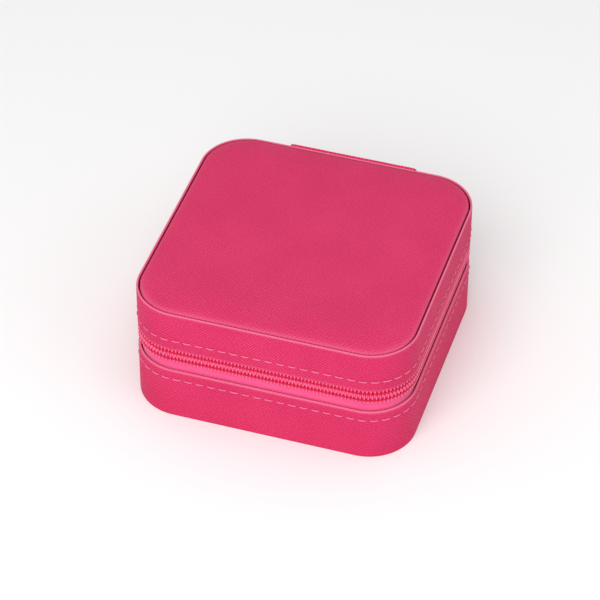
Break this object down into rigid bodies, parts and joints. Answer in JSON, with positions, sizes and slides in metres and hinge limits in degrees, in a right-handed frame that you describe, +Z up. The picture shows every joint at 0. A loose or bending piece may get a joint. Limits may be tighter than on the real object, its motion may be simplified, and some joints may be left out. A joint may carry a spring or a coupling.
{
  "type": "jewellery case",
  "caption": "Square zipped travel jewellery case with rounded corners, a padded hinged lid, a velvet ring and trinket tray and a lid pocket.",
  "frame": {"origin": "middle of the flat underside of the case walls, where the closed case stands on a table", "axes": "+X to the right as seen from the front, +Y back to the hinge, +Z up through the padded lid"},
  "size_m": [0.1034, 0.1015, 0.0488],
  "materials": {
    "saffiano_leather": "fine cross-hatched grain, rose red",
    "grey_board": "rigid grey board, uncoated",
    "velvet_card": "short-pile velvet over thin card, pink",
    "velvet_roll": "velvet over a soft filling, pink",
    "zip_tape": "woven polyester, bright pink",
    "zip_coil": "nylon coil, rose pink",
    "gold_metal": "polished, plated",
    "foam": "thin open-cell foam",
    "elastic": "round elastic cord"
  },
  "bodies": {
    "base": {"base_wall_leather": "saffiano_leather", "base_wall_board": "grey_board", "base_bottom_leather": "saffiano_leather", "base_bottom_board": "grey_board", "base_wall_lining": "velvet_card", "base_floor_lining": "velvet_card", "base_zip_tape": "zip_tape", "base_zip_coil": "zip_coil", "base_end_stops": "gold_metal", "hinge_strip_base_half": "saffiano_leather", "hinge_lining_base_half": "velvet_card", "tray_partition": "velvet_card", "divider_guides": "velvet_card", "ring_roll_1": "velvet_roll", "ring_roll_2": "velvet_roll", "ring_roll_3": "velvet_roll", "ring_roll_4": "velvet_roll", "ring_roll_5": "velvet_roll", "ring_roll_6": "velvet_roll"},
    "lid": {"lid_wall_leather": "saffiano_leather", "lid_wall_board": "grey_board", "lid_top_cover": "saffiano_leather", "lid_foam_pad": "foam", "lid_top_board": "grey_board", "lid_wall_lining": "velvet_card", "lid_ceiling_lining": "velvet_card", "lid_zip_tape": "zip_tape", "lid_zip_coil": "zip_coil", "lid_end_stops": "gold_metal", "hinge_strip_lid_half": "saffiano_leather", "hinge_lining_lid_half": "velvet_card", "lid_pocket": "velvet_card", "pocket_elastic": "elastic", "necklace_strap": "saffiano_leather", "snap_studs": "gold_metal"},
    "slider": {"slider_body": "gold_metal", "slider_crown": "gold_metal"},
    "pull_link": {"pull_link": "gold_metal"},
    "pull_tab": {"pull_tab": "gold_metal"},
    "divider_front": {"divider_front": "velvet_card"},
    "divider_back": {"divider_back": "velvet_card"},
    "tab_1": {"necklace_tab_1": "saffiano_leather", "snap_cap_1": "gold_metal"},
    "tab_2": {"necklace_tab_2": "saffiano_leather", "snap_cap_2": "gold_metal"},
    "tab_3": {"necklace_tab_3": "saffiano_leather", "snap_cap_3": "gold_metal"}
  },
  "joints": [
    {"name": "lid_hinge", "type": "hinge", "parent": "base", "child": "lid", "pos_m": [0, 0.05, 0.028], "axis": [-1, 0, 0], "range_deg": [0, 105]},
    {"name": "zip_run", "type": "slide", "parent": "base", "child": "slider", "axis": [0, -1, 0], "range_m": [0, 0.052]},
    {"name": "link_swivel", "type": "hinge", "parent": "slider", "child": "pull_link", "pos_m": [-0.0515, 0.02125, 0.028], "axis": [-1, 0, 0], "range_deg": [-6, 100]},
    {"name": "pull_swing", "type": "hinge", "parent": "pull_link", "child": "pull_tab", "pos_m": [-0.0518, 0.02125, 0.0218], "axis": [0, 1, 0], "range_deg": [0, 150]},
    {"name": "divider_front_lift", "type": "slide", "parent": "base", "child": "divider_front", "axis": [0, 0, 1], "range_m": [0, 0.018]},
    {"name": "divider_back_lift", "type": "slide", "parent": "base", "child": "divider_back", "axis": [0, 0, 1], "range_m": [0, 0.018]},
    {"name": "tab_1_fold", "type": "hinge", "parent": "lid", "child": "tab_1", "pos_m": [-0.024, -0.027, 0.0398], "axis": [1, 0, 0], "range_deg": [0, 100]},
    {"name": "tab_2_fold", "type": "hinge", "parent": "lid", "child": "tab_2", "pos_m": [0, -0.027, 0.0398], "axis": [1, 0, 0], "range_deg": [0, 100]},
    {"name": "tab_3_fold", "type": "hinge", "parent": "lid", "child": "tab_3", "pos_m": [0.024, -0.027, 0.0398], "axis": [1, 0, 0], "range_deg": [0, 100]}
  ]
}
